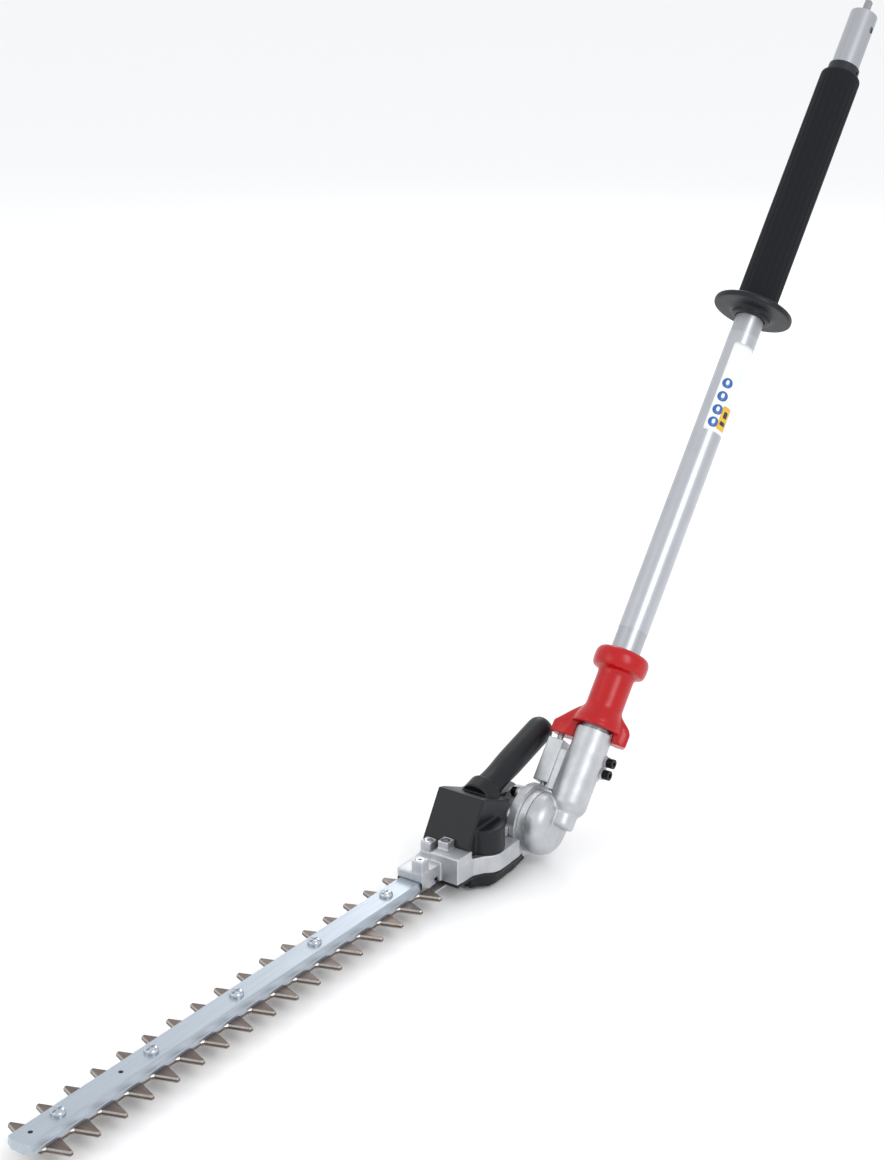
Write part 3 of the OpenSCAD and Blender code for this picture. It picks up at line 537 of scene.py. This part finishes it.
end, thick = handle["end"], handle["radius"]
handleProfile = (
    [(handle["bore"], handle["low"]), (thick - 0.5, handle["low"]), (thick - 0.05, handle["low"] + 1)]
    + [(thick - 0.05, h) for h in np.linspace(handle["low"] + 5, end - 14, 72)]
    + [(thick - 0.05, end - 10), (thick - 0.6, end - 6), (thick - 2.4, end - 2.6),
       (thick - 5.5, end - 0.6), (4.5, end), (0.0, end), (0.0, end - 6.0), (4.5, end - 9.0),
       (handle["bore"], end - 10.2), (handle["bore"], end - 14.0)]
)
tilt = turnedPiece("tiltHandle", handleProfile, finishes["black_plastic"], flute=ribbed,
                   times=0, space=handleSpace)
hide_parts("tilt_handle")
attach(tilt, "head")
print("stage: grips")

# sizes in mm
blade = {
    "teeth": 17,
    "pitch": 28.8,
    "half": 31.75,
    "spine": 12.4,
    "root": 103.5,
    "rod": 65.0,
    "thick": 2.2,
    "ground": 0.9,      # width of the ground edge
    "groundDrop": 1.3,
    "boltSlot": 4.8,
    "throw": 7.2,
    "bolts": 5,
    "boltLead": 19.4,   # first bolt from the first tooth
    "boltShort": 57.6,  # how much shorter the bolts' row is than the teeth's
    "tipPast": 12.0,    # spine past the first and last tooth
    "tangHalf": 9.0,    # half width of the tang round the pin, and its end past the pin
    "pinHole": 4.0,
}


# The outline of a blade and its bolt slots and pin hole, as loops of points.
def bladeLoops():
    k = blade
    first = -k["root"] - (k["teeth"] - 1) * k["pitch"]
    reachOut = k["half"] - k["spine"]
    tooth = np.array([(-10.4, 0), (-8, 1.6), (-1.8, reachOut - 0.6), (-1.2, reachOut),
                      (1.2, reachOut), (1.8, reachOut - 0.6), (8, 1.6), (10.4, 0)])
    starts = first + np.arange(k["teeth"]) * k["pitch"]
    away = np.repeat(tooth[None, :, 1], k["teeth"], 0)
    lowSide = np.stack([starts[:, None] + tooth[:, 0], -k["spine"] - away], -1)
    highSide = np.stack([starts[::-1, None] + tooth[::-1, 0], k["spine"] + away[:, ::-1]], -1)
    tail = -k["root"] + k["tipPast"]
    tang, tangEnd = k["tangHalf"], -k["rod"] + k["tangHalf"]
    outline = np.concatenate([
        [(first - k["tipPast"], -k["spine"])], lowSide.reshape(-1, 2),
        [(tail, -k["spine"]), (tail, -tang), (tangEnd, -tang), (tangEnd, tang), (tail, tang),
         (tail, k["spine"])],
        highSide.reshape(-1, 2), [(first - k["tipPast"], k["spine"])]])
    turns = np.linspace(-np.pi / 2, np.pi / 2, 13)
    boltFirst = first + k["boltLead"]
    boltStep = ((k["teeth"] - 1) * k["pitch"] - k["boltShort"]) / (k["bolts"] - 1)
    holes = []
    for i in range(k["bolts"]):
        right = [k["throw"] + 0.6 + k["boltSlot"] * np.cos(turns), k["boltSlot"] * np.sin(turns)]
        right = np.stack(right, -1)
        holes.append(np.concatenate([right, -right]) + [boltFirst + i * boltStep, 0])
    ring = np.linspace(0, 2 * np.pi, 32, endpoint=False)
    holes.append(np.stack([k["pinHole"] * np.cos(ring) - k["rod"], k["pinHole"] * np.sin(ring)], -1))
    return outline, holes


# The loop moved inwards along the mean of its two sides' normals, with sharp corners held back.
def inset(loop, width):
    before, after = np.roll(loop, 1, axis=0), np.roll(loop, -1, axis=0)
    a = loop - before
    b = after - loop
    a = a / np.linalg.norm(a, axis=1)[:, None]
    b = b / np.linalg.norm(b, axis=1)[:, None]
    na, nb = np.stack([-a[:, 1], a[:, 0]], -1), np.stack([-b[:, 1], b[:, 0]], -1)
    both = na + nb
    both = both / np.maximum(np.linalg.norm(both, axis=1), 1e-6)[:, None]
    scale = 1 / np.maximum((both * na).sum(1), 0.6)
    return loop + both * (width * scale)[:, None]


# A flat plate: its outline's walls, a ground slope to an inset face on one side, and a flat face on the other.
def bladePiece(name, top, groundUp):
    outline, holes = bladeLoops()
    inner = inset(outline, blade["ground"])
    base = top - blade["thick"]
    if groundUp:
        flat, mid, face = base, top - blade["groundDrop"], top
    else:
        flat, mid, face = top, base + blade["groundDrop"], base
    count = len(outline)
    rings = [(outline, flat), (outline, mid), (inner, face)]
    points = [headSpace(r[:, 0], r[:, 1], np.full(len(r), z)) for r, z in rings]
    faces, ground = [], []
    for level in range(2):
        for i in range(count):
            j = (i + 1) % count
            this, above = level * count, (level + 1) * count
            faces.append((this + i, this + j, above + j, above + i))
            ground.append(level == 1)
    start = 3 * count
    holeRings = []
    for hole in holes:
        size = len(hole)
        points += [headSpace(hole[:, 0], hole[:, 1], np.full(size, z)) for z in (flat, face)]
        for i in range(size):
            j = (i + 1) % size
            faces.append((start + i, start + j, start + size + j, start + size + i))
            ground.append(False)
        holeRings.append((start, size))
        start += 2 * size
    for outerLoop, firstPoint, level in ((outline, 0, 0), (inner, 2 * count, 1)):
        loops = [[(x, y, 0) for x, y in outerLoop]] + [[(x, y, 0) for x, y in hole] for hole in holes]
        index = list(range(firstPoint, firstPoint + count))
        for at, size in holeRings:
            index += list(range(at + level * size, at + (level + 1) * size))
        for triangle in tessellate_polygon(loops):
            faces.append(tuple(index[i] for i in triangle))
            ground.append(False)
    mesh = bpy.data.meshes.new(name)
    mesh.from_pydata(np.concatenate(points).tolist(), [], faces)
    mesh.materials.append(finishes["blade"])
    mesh.materials.append(groundSteel)
    mesh.polygons.foreach_set("material_index", [int(g) for g in ground])
    shaped = bmesh.new()
    shaped.from_mesh(mesh)
    bmesh.ops.recalc_face_normals(shaped, faces=shaped.faces)
    shaped.to_mesh(mesh)
    shaped.free()
    piece = bpy.data.objects.new(name, mesh)
    bpy.context.scene.collection.objects.link(piece)
    return piece


for pieceName, bladeNodes, bodyName, top, groundUp in (
    ("upperBlade", ("upper_blade", "upper_teeth"), "upper_knife", -0.1, True),
    ("lowerBlade", ("lower_blade", "lower_teeth"), "lower_knife", -2.5, False),
):
    piece = bladePiece(pieceName, top, groundUp)
    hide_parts(*bladeNodes)
    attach(piece, bodyName)
print("stage: blades")

# heights above the pivot and sizes in mm, angles in degrees
label = {
    "radius": 14.36,
    "thick": 0.08,
    "low": 404.0,
    "top": 497.0,
    "middle": -118.0,   # its middle line, where 0 is the underside and -90 the near side
    "halfTurn": 58.0,
}


# A thin patch wrapped on the tube: a superellipse of half sizes in mm
# about a height and an angle in degrees, lifted off the label's face.
def patch(name, s, angle, halfLength, halfWidth, power, lift, material, steps, rings):
    t = np.linspace(0, 2 * np.pi, steps, endpoint=False)
    radius = (np.abs(np.cos(t)) ** power + np.abs(np.sin(t)) ** power) ** (-1 / power)
    grow = np.linspace(1, 0, rings)[:, None]
    height = s + halfLength * radius * np.cos(t) * grow
    turn = math.radians(angle) + halfWidth / label["radius"] * radius * np.sin(t) * grow
    low, high = label["radius"] + lift - label["thick"], label["radius"] + lift
    sheets = [poleSpace(r * np.cos(turn), r * np.sin(turn), height) for r in (low, high)]
    points = np.concatenate([sheets[0][::-1], sheets[1]])
    return makePiece(name, points, gridFaces(2 * rings, steps), material)


sheetMiddle = (label["low"] + label["top"]) / 2
sheetHalf = (label["top"] - label["low"]) / 2
sheetWidth = math.radians(label["halfTurn"]) * label["radius"]
marks = [
    # name, height, angle, half length, half width, power, lift, material, steps, rings
    ("labelSheet", sheetMiddle, label["middle"], sheetHalf, sheetWidth, 40, 0, labelWhite, 160, 14),
    ("labelYellow", 420.0, -106.0, 12.0, 5.6, 14, 0.06, labelYellow, 64, 6),
    ("labelMarkA", 424.0, -106.0, 3.4, 2.6, 6, 0.12, labelDark, 32, 4),
    ("labelMarkB", 415.0, -106.0, 2.0, 3.6, 6, 0.12, labelDark, 32, 4),
]
discAngle = -146.0
for i, height in enumerate((413.0, 426.0, 440.0, 454.0)):
    marks.append((f"labelDisc{i}", height, discAngle, 5.2, 5.2, 2, 0.06, labelBlue, 48, 5))
    marks.append((f"labelDot{i}", height + 0.6, discAngle, 2.4, 1.6, 2.6, 0.12, labelWhite, 32, 4))
for mark in marks:
    piece = patch(*mark)
    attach(piece, "pole")
print("stage: label")

floorHalf = 40
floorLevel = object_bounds()[0].z - 2 * mm
floorMesh = bpy.data.meshes.new("floor")
floorCorners = [(x * floorHalf, y * floorHalf, floorLevel)
                for x, y in ((-1, -1), (1, -1), (1, 1), (-1, 1))]
floorMesh.from_pydata(floorCorners, [], [(0, 1, 2, 3)])
floor = bpy.data.objects.new("floor", floorMesh)
bpy.context.scene.collection.objects.link(floor)
floorMesh.materials.append(finishOf("paleFloor", "#fbfbfb", 0.9))

world = bpy.data.worlds.new("softStudio")
bpy.context.scene.world = world
world.use_nodes = True
sky = world.node_tree.nodes["Background"]
sky.inputs["Color"].default_value = tone("#f3f4f6")
sky.inputs["Strength"].default_value = 1.06


# An area light at a place, turned to face a point.
def softbox(name, place, aim, size, watts):
    lamp = bpy.data.lights.new(name, "AREA")
    lamp.shape = "RECTANGLE"
    lamp.size, lamp.size_y = size
    lamp.energy = watts
    holder = bpy.data.objects.new(name, lamp)
    bpy.context.scene.collection.objects.link(holder)
    holder.location = place
    ahead = np.array(aim, float) - np.array(place, float)
    ahead = ahead / np.linalg.norm(ahead)
    tilted = math.acos(max(-1, min(1, -ahead[2])))
    holder.rotation_euler = (tilted, 0, math.atan2(ahead[1], ahead[0]) - math.pi / 2)


softbox("keySoftbox", (-1.6, -2.2, 1.5), (-0.6, 0, -0.4), (1.2, 1.6), 26)
softbox("fillSoftbox", (-2.6, 1.3, 0.8), (-0.6, 0, -0.4), (1.4, 1.4), 8)
softbox("rimSoftbox", (1.5, 1.2, 1.2), (-0.5, 0, -0.4), (0.8, 1.6), 14)
print("stage: floor and light")
